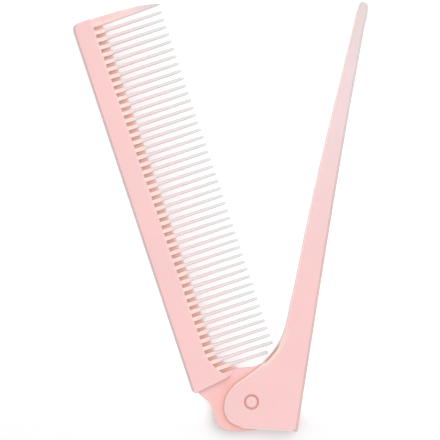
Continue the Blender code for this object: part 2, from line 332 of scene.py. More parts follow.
def new_group(name, inputs, outputs):
    """An empty shader node group, its input node and its output node."""
    group = bpy.data.node_groups.new(name, "ShaderNodeTree")
    for label, kind, default in inputs:
        socket = group.interface.new_socket(label, in_out="INPUT", socket_type=kind)
        if default is not None:
            socket.default_value = default
    for label, kind in outputs:
        group.interface.new_socket(label, in_out="OUTPUT", socket_type=kind)
    return group, group.nodes.new("NodeGroupInput"), group.nodes.new("NodeGroupOutput")


def placed_group(tree, group, **values):
    node = add_node(tree, "ShaderNodeGroup", node_tree=group)
    for label, value in values.items():
        node.inputs[label.replace("_", " ")].default_value = value
    return node


# %% How far a point lies between a start and an end
def make_share_group():
    """A share from 0 to 1 between Start and End, times the share that came before."""
    inputs = (
        ("Distance", "NodeSocketFloat", 0.0),
        ("Start", "NodeSocketFloat", 0.0),
        ("End", "NodeSocketFloat", 1.0),
        ("Of Share", "NodeSocketFloat", 1.0),
    )
    group, given, result = new_group("share_along", inputs, (("Share", "NodeSocketFloat"),))
    share = add_node(group, "ShaderNodeMapRange", interpolation_type="SMOOTHSTEP")
    both = add_node(group, "ShaderNodeMath", operation="MULTIPLY")
    link = group.links.new
    link(given.outputs["Distance"], share.inputs["Value"])
    link(given.outputs["Start"], share.inputs["From Min"])
    link(given.outputs["End"], share.inputs["From Max"])
    link(share.outputs["Result"], both.inputs[0])
    link(given.outputs["Of Share"], both.inputs[1])
    link(both.outputs["Value"], result.inputs["Share"])
    return group


share_group = make_share_group()

# %% [markdown]
# Moulded plastic is never quite even. A steel mould leaves a faint fine grain, and the
# colour drifts a little where the melt flowed. Both are noise, at two very different sizes,
# and every piece uses them, so they make a group.

# %% The faint unevenness of a moulded surface
FLOW_SCALE = 90.0
GRAIN_SCALE = 2600.0
GRAIN_ROUGHNESS = 0.12


def make_moulded_group():
    inputs = (
        ("Vector", "NodeSocketVector", None),
        ("Colour", "NodeSocketColor", None),
        ("Drift", "NodeSocketFloat", 0.03),
        ("Roughness", "NodeSocketFloat", 0.35),
    )
    outputs = (
        ("Colour", "NodeSocketColor"),
        ("Roughness", "NodeSocketFloat"),
        ("Height", "NodeSocketFloat"),
    )
    group, given, result = new_group("moulded_surface", inputs, outputs)
    flow = add_node(group, "ShaderNodeTexNoise")
    flow.inputs["Scale"].default_value = FLOW_SCALE
    flow.inputs["Detail"].default_value = 2.0
    grain = add_node(group, "ShaderNodeTexNoise")
    grain.inputs["Scale"].default_value = GRAIN_SCALE
    grain.inputs["Detail"].default_value = 3.0
    level = add_node(group, "ShaderNodeMapRange")
    level.inputs["To Min"].default_value = -1.0
    level.inputs["To Max"].default_value = 1.0
    amount = add_node(group, "ShaderNodeMath", operation="MULTIPLY_ADD")
    amount.inputs[2].default_value = 1.0
    tint = add_node(group, "ShaderNodeVectorMath", operation="SCALE")
    uneven = add_node(group, "ShaderNodeMath", operation="MULTIPLY_ADD")
    uneven.inputs[1].default_value = GRAIN_ROUGHNESS
    link = group.links.new
    link(given.outputs["Vector"], flow.inputs["Vector"])
    link(given.outputs["Vector"], grain.inputs["Vector"])
    link(flow.outputs["Fac"], level.inputs["Value"])
    link(level.outputs["Result"], amount.inputs[0])
    link(given.outputs["Drift"], amount.inputs[1])
    link(given.outputs["Colour"], tint.inputs["Vector"])
    link(amount.outputs["Value"], tint.inputs["Scale"])
    link(tint.outputs["Vector"], result.inputs["Colour"])
    link(grain.outputs["Fac"], uneven.inputs[0])
    link(given.outputs["Roughness"], uneven.inputs[2])
    link(uneven.outputs["Value"], result.inputs["Roughness"])
    link(grain.outputs["Fac"], result.inputs["Height"])
    return group


moulded_group = make_moulded_group()


# %% [markdown]
# One function builds the plastic for any piece. It lays tints over a first colour, in
# order, and the tints are painted shade, painted highlights and painted light coming through
# thin plastic. A tint's rules say where it shows: each is a distance with a start and an end,
# and the shares that they give are multiplied. Besides x and y there is the height above or
# below the middle of the comb, so that both faces get the same tint, the distance from the
# pin, the distance from the centre of the bow that the tail's inner edge makes above the
# hinge, and the distance from the middle of the nearest gap. The lean of the surface, 0 on a
# flat face and 1 on a wall, finds the rounded rims, where shade and highlights are painted.
# Subsurface scattering gives the soft look of a plastic that light goes a little way into.

# %% The distances that tints go by
PITCH = 2.565 * MM
LAST_GAP_Y = 12.545 * MM  # the middle of the lowest gap
BOW_CENTRE = (-23.5 * MM, 32.3 * MM, 0.0)


def distances_in(tree, turn):
    """The distances that a tint's rules may name, and the drawing's own coordinates."""
    where = add_node(tree, "ShaderNodeTexCoord")
    upright = add_node(tree, "ShaderNodeMapping", vector_type="TEXTURE")
    upright.inputs["Location"].default_value = pin_at
    upright.inputs["Rotation"].default_value = (0.0, 0.0, turn)
    axes = add_node(tree, "ShaderNodeSeparateXYZ")
    height = add_node(tree, "ShaderNodeMath", operation="ABSOLUTE")
    flat = add_node(tree, "ShaderNodeCombineXYZ")
    from_pin = add_node(tree, "ShaderNodeVectorMath", operation="LENGTH")
    from_bow = add_node(tree, "ShaderNodeVectorMath", operation="DISTANCE")
    from_bow.inputs[1].default_value = BOW_CENTRE
    above_last = add_node(tree, "ShaderNodeMath", operation="SUBTRACT")
    above_last.inputs[1].default_value = LAST_GAP_Y
    from_gap = add_node(tree, "ShaderNodeMath", operation="PINGPONG")
    from_gap.inputs[1].default_value = PITCH / 2
    surface = add_node(tree, "ShaderNodeNewGeometry")
    facing = add_node(tree, "ShaderNodeSeparateXYZ")
    flatness = add_node(tree, "ShaderNodeMath", operation="ABSOLUTE")
    lean = add_node(tree, "ShaderNodeMath", operation="MULTIPLY_ADD")
    lean.inputs[1].default_value = -MM
    lean.inputs[2].default_value = MM
    link = tree.links.new
    link(where.outputs["Object"], upright.inputs["Vector"])
    link(upright.outputs["Vector"], axes.inputs["Vector"])
    link(axes.outputs["Z"], height.inputs[0])
    link(axes.outputs["X"], flat.inputs["X"])
    link(axes.outputs["Y"], flat.inputs["Y"])
    link(flat.outputs["Vector"], from_pin.inputs[0])
    link(flat.outputs["Vector"], from_bow.inputs[0])
    link(axes.outputs["Y"], above_last.inputs[0])
    link(above_last.outputs["Value"], from_gap.inputs[0])
    link(surface.outputs["Normal"], facing.inputs["Vector"])
    link(facing.outputs["Z"], flatness.inputs[0])
    link(flatness.outputs["Value"], lean.inputs[0])
    distances = {
        "x": axes.outputs["X"],
        "y": axes.outputs["Y"],
        "height": height.outputs["Value"],
        "from_pin": from_pin.outputs["Value"],
        "from_bow": from_bow.outputs["Value"],
        "from_gap": from_gap.outputs["Value"],
        "lean": lean.outputs["Value"],
    }
    return distances, upright.outputs["Vector"]


# %% The pink plastic
PINK = (0.775, 0.500, 0.495, 1.0)
ROUGHNESS = 0.30
GLOSS_IOR = 1.48
SCATTER_SHARE = 0.40
SCATTER_DEPTH = 0.8 * MM
SCATTER_RADIUS = (1.0, 0.35, 0.30)
GRAIN_STRENGTH = 0.12
GRAIN_HEIGHT = 0.02 * MM


def pink_plastic(name, turn, tints):
    """Tints are a colour and its rules, each a distance, a start and an end in millimetres."""
    material = bpy.data.materials.new(name)
    material.use_nodes = True
    tree = material.node_tree
    shader = tree.nodes["Principled BSDF"]
    link = tree.links.new
    distances, upright = distances_in(tree, turn)
    moulded = placed_group(tree, moulded_group, Colour=PINK, Roughness=ROUGHNESS)
    below = None
    for colour, rules in tints:
        tint = add_node(tree, "ShaderNodeMix", data_type="RGBA")
        tint.inputs["A"].default_value = PINK
        tint.inputs["B"].default_value = colour
        share = None
        for measured, start, end in rules:
            rule = placed_group(tree, share_group, Start=start * MM, End=end * MM)
            link(distances[measured], rule.inputs["Distance"])
            if share is not None:
                link(share, rule.inputs["Of Share"])
            share = rule.outputs["Share"]
        link(share, tint.inputs["Factor"])
        if below is not None:
            link(below, tint.inputs["A"])
        below = tint.outputs["Result"]
        link(below, moulded.inputs["Colour"])
    link(upright, moulded.inputs["Vector"])
    bump = add_node(tree, "ShaderNodeBump")
    bump.inputs["Strength"].default_value = GRAIN_STRENGTH
    bump.inputs["Distance"].default_value = GRAIN_HEIGHT
    link(moulded.outputs["Height"], bump.inputs["Height"])
    link(moulded.outputs["Colour"], shader.inputs["Base Color"])
    link(moulded.outputs["Roughness"], shader.inputs["Roughness"])
    link(bump.outputs["Normal"], shader.inputs["Normal"])
    shader.inputs["Subsurface Weight"].default_value = SCATTER_SHARE
    shader.inputs["Subsurface Radius"].default_value = SCATTER_RADIUS
    shader.inputs["Subsurface Scale"].default_value = SCATTER_DEPTH
    shader.inputs["IOR"].default_value = GLOSS_IOR
    return material


# %% [markdown]
# On the blade the tang, which lies deepest, is a deeper pink of painted shade, and so are
# the grooves. The slopes of the lands catch the light and get a painted cream highlight. The
# guard tooth and the teeth pale towards their tips with painted light coming through the thin
# plastic, and are greyer with painted shade. The outer rim is greyer with painted shade, and
# the edge of the spine's foot has a painted dusky shadow.

# %% The blade's plastic
# These colours are painted light and shade laid over the pink: deeper pink for shade in hollows,
# cream for highlights, grey for shaded rims and narrow teeth, and pale for light coming through
# thin plastic.
RECESS_SHADE_PINK = (0.800, 0.440, 0.405, 1.0)
GROOVE_SHADE_PINK = (0.740, 0.435, 0.400, 1.0)
HIGHLIGHT_CREAM_PINK = (0.800, 0.610, 0.545, 1.0)
TOOTH_SHADE_PINK = (0.710, 0.605, 0.610, 1.0)
TOOTH_LIT_WHITE = (0.650, 0.650, 0.645, 1.0)
GUARD_LIT_PALE = (0.745, 0.585, 0.570, 1.0)
GUARD_LIT_TIP = (0.610, 0.520, 0.535, 1.0)
RIM_SHADE_PINK = (0.590, 0.440, 0.425, 1.0)
PAINTED_SHADOW_PINK = (0.560, 0.340, 0.310, 1.0)
blade_plastic = pink_plastic(
    "blade_plastic",
    BLADE_TURN,
    (
        # the tang, a deeper pink of painted shade where it lies deepest
        (RECESS_SHADE_PINK, (("height", 1.7, 1.3), ("y", 11.5, 7.0), ("from_pin", 16.0, 9.5))),
        # the slopes of the lands, with a painted cream highlight
        (
            HIGHLIGHT_CREAM_PINK,
            (("height", 2.88, 2.6), ("x", -13.0, -12.0), ("y", 11.8, 13.0), ("y", 136.0, 133.6)),
        ),
        # the guard tooth, paler towards its tip with painted light coming through the thin plastic,
        # and greyer at the tip with painted shade
        (GUARD_LIT_PALE, (("x", -9.0, 2.0), ("y", 133.0, 133.5))),
        (GUARD_LIT_TIP, (("x", 1.0, 12.0), ("y", 133.0, 133.5))),
        # the teeth, greyer with painted shade of their narrow rounded sides, and paler towards the
        # tips with painted light coming through the thin plastic
        (TOOTH_SHADE_PINK, (("height", 1.50, 1.25), ("y", 12.2, 12.8), ("y", 133.5, 133.0))),
        (TOOTH_LIT_WHITE, (("x", -2.0, 11.0), ("y", 12.2, 12.8), ("y", 133.5, 133.0))),
        # the faces of the web between the lands, a deeper pink of painted shade in the grooves
        (
            GROOVE_SHADE_PINK,
            (
                ("height", 1.2, 1.0),
                ("height", 0.42, 0.55),
                ("from_gap", 0.66, 0.56),
                ("y", 11.9, 12.1),
                ("y", 134.2, 133.9),
            ),
        ),
        # the outer rim, greyer with painted shade
        (RIM_SHADE_PINK, (("lean", 0.004, 0.03), ("lean", 0.75, 0.35), ("x", -15.5, -16.0))),
        # the edge of the spine's foot, a painted dusky shadow below the step
        (
            PAINTED_SHADOW_PINK,
            (
                ("lean", 0.03, 0.20),
                ("height", 1.2, 1.4),
                ("y", 10.9, 10.5),
                ("x", -16.9, -16.2),
                ("x", -3.6, -4.6),
            ),
        ),
    ),
)
print("blade's material:", blade_plastic.name)

# %% [markdown]
# On the tail the inner rim gets a painted cream highlight, except in the nook above the
# hinge, where a short painted shadow runs along it with a painted cream highlight band inside.
# The tail pales all the way up to its point, with painted light coming through the thinning
# plastic. The outer rim is greyer with painted shade, most of all towards the point, and the
# rivet's seats are a deeper pink of painted shade.

# %% The plastic of the tail and the rivet
# These colours are painted light and shade laid over the pink: pale for light coming through the
# thinning tail, cream for highlights, grey for shade on the outer rim.
TAIL_LIT_PALE = (0.725, 0.575, 0.595, 1.0)
TAIL_LIT_TIP = (0.655, 0.555, 0.548, 1.0)
INNER_RIM_HIGHLIGHT = (0.900, 0.680, 0.640, 1.0)
RIM_SHADE_GREY = (0.590, 0.540, 0.530, 1.0)
tail_plastic = pink_plastic(
    "tail_plastic",
    TAIL_TURN,
    (
        # the rim of the cheeks, with a painted cream highlight
        (
            HIGHLIGHT_CREAM_PINK,
            (("height", 2.88, 2.4), ("x", 14.0, 10.0), ("y", 30.0, 15.0), ("from_pin", 4.0, 5.0)),
        ),
        # the band along the bow, a painted cream highlight
        (HIGHLIGHT_CREAM_PINK, (("from_bow", 33.9, 32.6), ("y", 10.0, 14.0), ("y", 28.0, 18.0))),
        # the way up to the point, paler with painted light coming through the thinning plastic
        (TAIL_LIT_PALE, (("y", 30.0, 125.0),)),
        (TAIL_LIT_TIP, (("y", 112.0, 128.0),)),
        # the rivet's seats, a deeper pink of painted shade in their hollows
        (RECESS_SHADE_PINK, (("height", 2.85, 2.5), ("from_pin", 3.2, 2.8))),
        # the inner rim's painted highlight, and the painted shadow line in the nook
        (INNER_RIM_HIGHLIGHT, (("lean", 0.02, 0.25), ("x", 15.3, 14.8), ("from_pin", 4.0, 5.0))),
        (PAINTED_SHADOW_PINK, (("lean", 0.06, 0.22), ("x", 9.0, 8.0), ("y", 12.6, 14.8), ("y", 21.5, 18.5))),
        # the outer rim, greyer with painted shade, most of all towards the point
        (RIM_SHADE_PINK, (("lean", 0.004, 0.03), ("lean", 0.75, 0.35), ("x", 15.0, 15.6))),
        (RIM_SHADE_GREY, (("lean", 0.004, 0.03), ("x", 15.0, 15.6), ("y", 60.0, 120.0))),
    ),
)
# Below the top of its head the rivet is a deeper pink of painted shade, sunk in its seats.
pin_plastic = pink_plastic("pin_plastic", TAIL_TURN, ((RECESS_SHADE_PINK, (("height", 2.80, 2.5),)),))
print("materials:", [material.name for material in bpy.data.materials])

# %% [markdown]
# ## The blade
#
# The blade is a thick spine with 48 gaps cut into its edge. Between two gaps stands a land,
# a short block that slopes from the spine's full thickness down to the thin tooth that it
# carries. The line where the lands begin drifts a little on its way down and then sweeps
# round the heel. One function gives that line and the foot of the slope at any height, and
# the spine, the lands and the teeth all read it, so that they meet.

# %% Where the lands begin and end
GAPS = 48
TOP_GAP_Y = LAST_GAP_Y + (GAPS - 1) * PITCH
ROOT_GAP = 1.0 * MM
GAP_START = 0.5 * MM  # from the top of the slope to the closed end of each gap
BEVEL_TOP_Y = 140.0 * MM
FLARE_Y = 20.5 * MM
# each line's start at the top, drift, flare round the heel, and how sharp the flare is
SPINE_SIDE = (-11.3 * MM, 1.25 * MM, 3.1 * MM, 2.0)
TOOTH_SIDE = (-7.75 * MM, 1.25 * MM, 5.5 * MM, 2.5)
TIP_X_TOP = 12.5 * MM
TIP_X_BOTTOM = 12.9 * MM
LAST_TIP_X = 10.3 * MM


def bevel_line(y, line):
    """X on a line that starts at the top, drifts evenly and then flares round the heel."""
    start, drift, flare, sharpness = line
    down = min(1.0, (BEVEL_TOP_Y - y) / (BEVEL_TOP_Y - FLARE_Y))
    round_heel = max(0.0, (FLARE_Y - y) / (FLARE_Y - LAST_GAP_Y))
    return start + drift * down + flare * round_heel**sharpness


def tip_x(y):
    """X of a tooth's tip."""
    share = (TOP_GAP_Y - y) / (GAPS * PITCH)
    return TIP_X_TOP + share * (TIP_X_BOTTOM - TIP_X_TOP)


def spaced(start, end, steps):
    """Evenly spaced values from the start to the end, both included."""
    return [start + (end - start) * step / steps for step in range(steps + 1)]


print("last gap at", round(LAST_GAP_Y / MM, 2), "mm above the pin")

# %% [markdown]
# The spine is drawn out to where the gaps close. Its outer rim is well rounded, its foot only
# a little, and the side of the lands isn't. On that side its last half millimetre already
# slopes, which we get by cutting a ring round the plate just below each face and drawing the
# edge back.

# %% The spine
SPINE_OUTER = (
    (-15.4, 136.8, "turn"),
    (-16.98, 136.13, "smooth"),
    (-17.54, 134.4, "turn"),
    (-17.55, 10.8, "turn"),
    (-17.3, 9.1, "smooth"),
    (-16.4, 8.45, "turn"),
    (-4.4, 10.0, "turn"),
)
SPINE_TOP_Y = 136.8 * MM
HEEL_STEPS = 7
HEEL_LOW_Y = 10.6 * MM
BESIDE = (0.05 * MM, 0.1 * MM)  # how near in x and y still counts as beside the lands
FOOT_START_X = -16.5 * MM
FOOT_TOP_Y = 10.7 * MM
FOOT_RIM_RADIUS = 0.5 * MM
SLOPE_DROP = 0.23 * MM
ABOVE_CUT = 0.01 * MM


def spine_rows():
    """The spine's outline: its outer edge, its foot, and the closed ends of the gaps."""
    rows = list(SPINE_OUTER)
    for y in spaced(HEEL_LOW_Y, FLARE_Y, HEEL_STEPS) + [SPINE_TOP_Y]:
        rows.append(((bevel_line(y, SPINE_SIDE) + GAP_START) / MM, y / MM, "turn"))
    return rows


def is_beside_lands(place):
    line = bevel_line(max(place.y, HEEL_LOW_Y), SPINE_SIDE) + GAP_START
    return place.y > HEEL_LOW_Y - BESIDE[1] and place.x > line - BESIDE[0]


def spine_rim(place):
    """The rim's radius at a place on the spine's outline."""
    if is_beside_lands(place):
        return 0.0
    on_foot = place.y < FOOT_TOP_Y and place.x > FOOT_START_X
    return FOOT_RIM_RADIUS if on_foot else RIM_RADIUS


def sloped(bm):
    """Draw the edge beside the lands back to the top of their slope, on both faces."""
    level = THICKNESS / 2 - SLOPE_DROP
    for side in (1.0, -1.0):
        everything = bm.verts[:] + bm.edges[:] + bm.faces[:]
        at = (0.0, 0.0, side * level)
        bmesh.ops.bisect_plane(bm, geom=everything, plane_co=at, plane_no=(0.0, 0.0, 1.0))
    for vert in bm.verts:
        if abs(vert.co.z) > level + ABOVE_CUT and is_beside_lands(vert.co):
            vert.co.x -= GAP_START
    return bm


spine = sloped(plate(spine_rows(), THICKNESS, spine_rim, RIM_SEGMENTS))
print("spine", len(spine.faces), "faces")

# %% [markdown]
# Each land starts inside the spine, so that the join is hidden, and ends where the free
# tooth begins. Each tooth starts inside its land. The rows of a shape are its stations, and
# the last three of the tooth round its tip.

# %% Lands and teeth
LAND_WIDTH = PITCH - ROOT_GAP
LAND_SHAPE = (
    # share of the slope, share of the land's width, height in millimetres
    (-0.15, 0.95, 5.66),
    (0.03, 0.95, 5.66),
    (0.90, 0.93, 2.80),
    (1.02, 0.90, 2.60),
    (1.10, 0.84, 2.50),
    (1.14, 0.76, 2.40),
)
TOOTH_SHAPE = (
    # share of the free length, width and height in millimetres
    (-0.04, 1.15, 2.30),
    (0.04, 1.13, 2.28),
    (0.30, 1.12, 2.02),
    (0.65, 1.10, 1.64),
    (0.94, 1.08, 1.28),
    (0.976, 1.00, 1.16),
    (0.993, 0.80, 0.90),
    (1.00, 0.46, 0.46),
)


def stations(y, start, end, shape, full_width):
    """A shape's rows as places and sizes in metres, on the way from one x to another."""
    run = end - start
    rows = []
    for share, width, height in shape:
        rows.append((start + share * run, y, width * full_width, height * MM))
    return rows


lands = bmesh.new()
teeth = bmesh.new()
tooth_heights = [TOP_GAP_Y - PITCH * (number + 0.5) for number in range(GAPS - 1)]
for y in tooth_heights:
    slope_top, foot = bevel_line(y, SPINE_SIDE), bevel_line(y, TOOTH_SIDE)
    tip = LAST_TIP_X if y == tooth_heights[-1] else tip_x(y)
    walk(lands, stations(y, slope_top, foot, LAND_SHAPE, LAND_WIDTH), corner=0.12, segments=2)
    walk(teeth, stations(y, foot, tip, TOOTH_SHAPE, MM), corner=0.28, segments=3)
print(len(tooth_heights), "teeth,", len(teeth.faces), "faces")

# %% [markdown]
# The tooth at the top is a guard: it is broader, follows the blade's curved top edge, and
# runs out to a point. At the other end the land under the last gap is a short ramp that
# dies into the heel. Both are walked like the teeth, but between two edges, so each row
# gives the lower and the upper edge.

# %% Guard tooth and heel ramp
GUARD_SHAPE = (
    # x, lower edge, upper edge and height in millimetres
    (-12.2, 133.61, 136.60, 5.20),
    (-10.7, 133.61, 136.78, 5.20),
    (-7.75, 133.62, 136.78, 2.66),
    (-7.3, 133.76, 136.78, 2.52),
    (-4.7, 133.82, 136.76, 2.38),
    (0.5, 133.90, 136.55, 2.06),
    (5.9, 134.02, 136.12, 1.74),
    (9.6, 134.12, 135.42, 1.50),
    (11.8, 134.20, 134.92, 1.30),
    (12.6, 134.28, 134.66, 1.00),
    (12.85, 134.36, 134.50, 0.50),
)
RAMP_SHAPE = (
    (-8.4, 10.30, 11.98, 5.60),
    (-5.7, 10.06, 12.02, 5.56),
    (-5.1, 10.03, 12.03, 5.20),
    (-4.35, 10.04, 12.04, 4.50),
    (-3.2, 10.90, 12.04, 3.46),
    (-2.2, 11.68, 12.04, 2.74),
    (-1.8, 11.96, 12.04, 2.56),
)


def walk_between(rows, corner, segments):
    bm = bmesh.new()
    places = []
    for x, lower, upper, height in rows:
        places.append((x * MM, (lower + upper) / 2 * MM, (upper - lower) * MM, height * MM))
    walk(bm, places, corner, segments)
    return bm


guard = walk_between(GUARD_SHAPE, corner=0.18, segments=3)
ramp = walk_between(RAMP_SHAPE, corner=0.08, segments=2)
print("guard", len(guard.faces), "faces, ramp", len(ramp.faces), "faces")

# %% [markdown]
# Between its two lands a gap isn't open: a thin web closes it halfway down, which leaves a
# short dark groove on each face. Forty-eight little webs could be placed one by one, but
# one strip that runs down through all the lands gives the same and can't be out of line.

# %% The web behind the grooves
WEB_TOP_Y = 135.0 * MM
WEB_FOOT_Y = 11.6 * MM
WEB_START_THICKNESS = 1.9 * MM
WEB_END_THICKNESS = 0.8 * MM
WEB_PAST_BEVEL = 0.2 * MM
WEB_LIMIT_X = -0.7 * MM
WEB_STEPS = 12


def gap_web():
    bm = bmesh.new()
    rings = []
    for y in [WEB_TOP_Y] + spaced(FLARE_Y, WEB_FOOT_Y, WEB_STEPS):
        start = bevel_line(y, SPINE_SIDE) + GAP_START / 2
        end = min(bevel_line(y, TOOTH_SIDE) + WEB_PAST_BEVEL, WEB_LIMIT_X)
        section = (
            (start, WEB_START_THICKNESS / 2),
            (end, WEB_END_THICKNESS / 2),
            (end, -WEB_END_THICKNESS / 2),
            (start, -WEB_START_THICKNESS / 2),
        )
        rings.append([bm.verts.new((x, y, z)) for x, z in section])
    for ring in (rings[0], rings[-1]):
        bm.faces.new(ring)
    for upper, lower in zip(rings, rings[1:]):
        for index in range(4):
            after = (index + 1) % 4
            bm.faces.new((upper[index], upper[after], lower[after], lower[index]))
    return bm


# %% [markdown]
# The tang is the thin tongue that goes between the tail's two cheeks. It is a plate again,
# less than half as thick as the spine, so the spine's foot stands above it as a step.

# %% The tang and its bore
TANG = (
    (-16.2, 8.9, "turn"),
    (-13.7, 4.8, "turn"),
    (-13.1, 2.9, "smooth"),
    (-13.2, -1.0, "smooth"),
    (-13.2, -3.3, "smooth"),
    (-11.2, -6.1, "smooth"),
    (-7.4, -7.8, "smooth"),
    (0.0, -9.5, "smooth"),
    (8.0, -8.0, "smooth"),
    (12.4, -3.0, "smooth"),
    (12.6, 4.0, "smooth"),
    (10.6, 8.2, "smooth"),
    (7.6, 10.6, "smooth"),
    (4.5, 10.6, "smooth"),
    (1.5, 11.25, "smooth"),
    (-1.6, 12.0, "turn"),
    (-6.0, 12.0, "turn"),
)
TANG_RIM_RADIUS = 0.3 * MM
TANG_RIM_SEGMENTS = 3


def bore():
    """A round cutter about the pin's axis that reaches past both faces."""
    bm = bmesh.new()
    bmesh.ops.create_cone(
        bm,
        cap_ends=True,
        segments=ROUND_STEPS,
        radius1=BORE_RADIUS,
        radius2=BORE_RADIUS,
        depth=2 * THICKNESS,
    )
    return bm


tang = plate(TANG, TANG_THICKNESS, lambda place: TANG_RIM_RADIUS, TANG_RIM_SEGMENTS)
blade = combined(
    "comb_blade_body",
    spine,
    (
        ("UNION", lands),
        ("UNION", teeth),
        ("UNION", guard),
        ("UNION", ramp),
        ("UNION", gap_web()),
        ("UNION", tang),
        ("DIFFERENCE", bore()),
    ),
)
dressed("toothed_blade", blade, BLADE_TURN, "comb_blade", "blade", blade_plastic)

# %% [markdown]
# ## The tail
#
# The tail is one long moulding. At the hinge it forks into two cheeks, and a channel runs
# up its inner edge to take the tooth tips when the comb is shut. It thins towards its
# point. The plate is drawn once, its rim is rounded, and then it is sliced across every few
# millimetres so that the points can be drawn together in height along the way.

# %% The tail's outline and how it thins
TAIL = (
    (16.6, -7.4, "turn"),
    (16.75, 72.0, "smooth"),
    (17.15, 100.0, "smooth"),
    (17.8, 127.0, "smooth"),
    (17.94, 134.8, "smooth"),
    (17.39, 136.08, "smooth"),
    (15.3, 136.18, "smooth"),
    (14.75, 134.8, "smooth"),
    (12.65, 109.2, "smooth"),
    (10.55, 84.4, "smooth"),
    (9.0, 59.7, "smooth"),
    (7.9, 37.0, "smooth"),
    (6.15, 21.0, "smooth"),
    (2.2, 13.7, "smooth"),
    (-2.4, 8.6, "smooth"),
    (-7.1, 3.6, "smooth"),
    (-8.7, -1.3, "smooth"),
    (-7.0, -6.8, "smooth"),
    (-1.4, -9.2, "turn"),
)
TAIL_THICKNESS = (
    # height above the pin, thickness
    (30.0 * MM, 5.8 * MM),
    (110.0 * MM, 4.4 * MM),
    (136.0 * MM, 3.0 * MM),
)
SLICE = 4.0 * MM


def tail_thickness(y):
    if y <= TAIL_THICKNESS[0][0]:
        return TAIL_THICKNESS[0][1]
    for (low, thick), (high, thin) in zip(TAIL_THICKNESS, TAIL_THICKNESS[1:]):
        if y <= high:
            return thick + (thin - thick) * (y - low) / (high - low)
    return TAIL_THICKNESS[-1][1]


def thinned(bm):
    """Slice the plate across and draw each slice together in height."""
    first, last = TAIL_THICKNESS[0][0], TAIL_THICKNESS[-1][0]
    slices = int((last - first) / SLICE) + 1
    for number in range(slices):
        at = (0.0, first + number * SLICE, 0.0)
        everything = bm.verts[:] + bm.edges[:] + bm.faces[:]
        bmesh.ops.bisect_plane(bm, geom=everything, plane_co=at, plane_no=(0.0, 1.0, 0.0))
    for vert in bm.verts:
        vert.co.z *= tail_thickness(vert.co.y) / THICKNESS
    return bm


tail_plate = thinned(plate(TAIL, THICKNESS, lambda place: RIM_RADIUS, RIM_SEGMENTS))
print("tail", len(tail_plate.faces), "faces")

# %% [markdown]
# Three things are cut from it: the slot for the tang, the channel for the tooth tips, and a
# round seat for the rivet's head on each face. The seat's mouth is a little wider than its
# floor, which gives the soft ring that shows round the head.

# %% The hinge slot, the tooth channel and the rivet's seats
WALL_X = 14.2  # in millimetres, like the outlines
CHANNEL_X = 13.4
SLOT = (
    (-15.0, -15.0, "turn"),
    (20.0, -15.0, "turn"),
    (20.0, -4.6, "turn"),
    (WALL_X, -4.6, "turn"),
    (WALL_X, 16.0, "turn"),
    (CHANNEL_X, 20.0, "turn"),
    (CHANNEL_X, 30.0, "turn"),
    (-15.0, 30.0, "turn"),
)
CHANNEL = (
    (-15.0, 28.0, "turn"),
    (CHANNEL_X, 28.0, "turn"),
    (CHANNEL_X, 140.0, "turn"),
    (-15.0, 140.0, "turn"),
)
CHANNEL_WIDTH = 2.2 * MM
SEAT_RADIUS = 2.55 * MM
SEAT_MOUTH = 0.14 * MM
SEAT_LIP = 0.10 * MM
SEAT_DEPTH = 0.85 * MM


def spun(profile):
    """A closed turned body. Its profile of radius and height starts and ends on the axis."""
    bm = bmesh.new()
    verts = [bm.verts.new((radius, 0.0, z)) for radius, z in profile]
    for start, end in zip(verts, verts[1:]):
        bm.edges.new((start, end))
    bmesh.ops.spin(
        bm,
        geom=bm.verts[:] + bm.edges[:],
        cent=(0.0, 0.0, 0.0),
        axis=(0.0, 0.0, 1.0),
        angle=2 * pi,
        steps=ROUND_STEPS,
        use_merge=True,
    )
    bmesh.ops.remove_doubles(bm, verts=bm.verts, dist=MERGE)
    bmesh.ops.recalc_face_normals(bm, faces=bm.faces)
    return bm


def seat(side):
    """The cutter for one seat, on the upper side for 1 and on the lower side for -1."""
    face = side * THICKNESS / 2
    floor = side * (THICKNESS / 2 - SEAT_DEPTH)
    lip = side * (THICKNESS / 2 - SEAT_LIP)
    beyond = side * THICKNESS
    return spun(
        (
            (0.0, floor),
            (SEAT_RADIUS, floor),
            (SEAT_RADIUS, lip),
            (SEAT_RADIUS + SEAT_MOUTH, face),
            (SEAT_RADIUS + SEAT_MOUTH, beyond),
            (0.0, beyond),
        )
    )


tail = combined(
    "tail_body",
    tail_plate,
    (
        ("DIFFERENCE", plate(SLOT, SLOT_WIDTH)),
        ("DIFFERENCE", plate(CHANNEL, CHANNEL_WIDTH)),
        ("DIFFERENCE", bore()),
        ("DIFFERENCE", seat(1.0)),
        ("DIFFERENCE", seat(-1.0)),
    ),
)
dressed("forked_tail", tail, TAIL_TURN, "tail_handle", "tail", tail_plastic)

# %% [markdown]
# ## The rivet
#
# The rivet is turned: half its outline is spun once round its axis. Its heads are sunk just
# below the cheeks, with a rounded edge and a small mark at the centre.

# %% The rivet
PIN_RADIUS = 1.4 * MM
HEAD_RADIUS = 1.88 * MM
HEAD_THICKNESS = 0.6 * MM
HEAD_BELOW_FACE = 0.04 * MM


def rivet():
    """The mark at the centre, the head's flat, its rounded edge and the shank, turned."""
    top = THICKNESS / 2 - HEAD_BELOW_FACE
    under = top - HEAD_THICKNESS
    upper = (
        (0.0, top - 0.16 * MM),
        (0.16 * MM, top - 0.14 * MM),
        (0.34 * MM, top - 0.02 * MM),
        (0.50 * MM, top),
        (HEAD_RADIUS - 0.30 * MM, top),
        (HEAD_RADIUS - 0.12 * MM, top - 0.05 * MM),
        (HEAD_RADIUS - 0.03 * MM, top - 0.14 * MM),
        (HEAD_RADIUS, top - 0.28 * MM),
        (HEAD_RADIUS, under),
        (PIN_RADIUS, under),
    )
    lower = [(radius, -z) for radius, z in reversed(upper)]
    return spun(list(upper) + lower)


dressed("hinge_rivet", rivet(), TAIL_TURN, "pivot_pin", "tail", pin_plastic)

